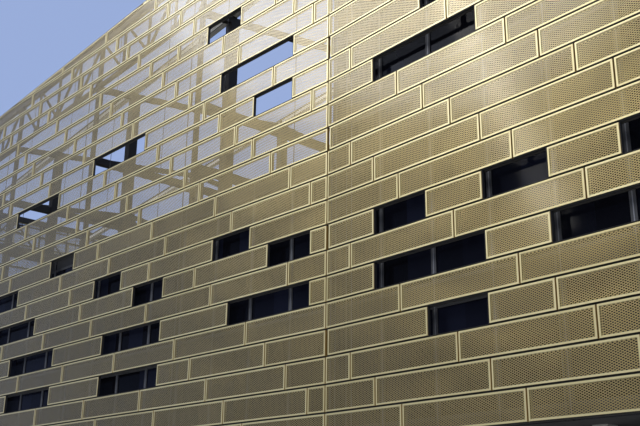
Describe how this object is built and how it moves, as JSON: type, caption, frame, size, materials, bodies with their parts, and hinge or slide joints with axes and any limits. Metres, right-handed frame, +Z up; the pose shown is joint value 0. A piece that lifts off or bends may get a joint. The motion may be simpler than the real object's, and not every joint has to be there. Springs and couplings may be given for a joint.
{
  "type": "community centre",
  "caption": "Folded two-wing community centre: glazed storeys behind a hung screen of mesh cassettes with slot windows, and an open steel-framed roof deck.",
  "frame": {"origin": "on the ground under the fold of the front wall, at the middle of the building's depth", "axes": "+Z up, the front looks along -Y, the left wing runs along -X and the right wing along +X"},
  "size_m": [37.4725, 14.2648, 15.8665],
  "materials": {
    "concrete": "fair-faced concrete",
    "soffit": "dark painted board",
    "column_paint": "matt",
    "deck_steel": "satin",
    "cassette_metal": "satin gold-tinted mesh",
    "hanger_steel": "matt",
    "mullion_metal": "satin",
    "dark_glass": "gloss",
    "ground_glass": "gloss",
    "door_metal": "satin"
  },
  "bodies": {
    "root": {"ground_slab": "concrete", "overhang_soffit": "soffit", "first_floor_slab": "concrete", "deck_slab": "concrete", "second_floor_slab": "concrete", "right_roof_slab": "concrete", "deck_upstand": "concrete", "ground_columns": "column_paint", "first_floor_columns": "column_paint", "top_floor_columns": "column_paint", "deck_columns": "deck_steel", "deck_posts": "deck_steel", "front_girder": "deck_steel", "back_girder": "deck_steel", "end_girder": "deck_steel", "cross_beams": "deck_steel", "deck_struts": "deck_steel", "tie_beams": "deck_steel", "parapet_posts": "deck_steel", "parapet_rails": "deck_steel", "coping": "cassette_metal", "screen_rails": "hanger_steel", "screen_hangers": "hanger_steel", "screen_arms": "hanger_steel", "front_left_screen": "cassette_metal", "front_right_screen": "cassette_metal", "right_end_screen": "cassette_metal", "back_screen": "cassette_metal", "left_end_screen": "cassette_metal", "front_left_mullions": "mullion_metal", "front_right_mullions": "mullion_metal", "right_end_mullions": "mullion_metal", "left_end_mullions": "mullion_metal", "back_mullions": "mullion_metal", "front_left_glass": "dark_glass", "front_right_glass": "dark_glass", "right_end_glass": "dark_glass", "left_end_glass": "dark_glass", "back_left_glass": "dark_glass", "back_right_glass": "dark_glass", "deck_side_glass": "dark_glass", "ground_front_glass": "ground_glass", "ground_back_glass": "ground_glass", "ground_end_glass": "ground_glass", "entrance_doors": "door_metal"}
  },
  "joints": []
}
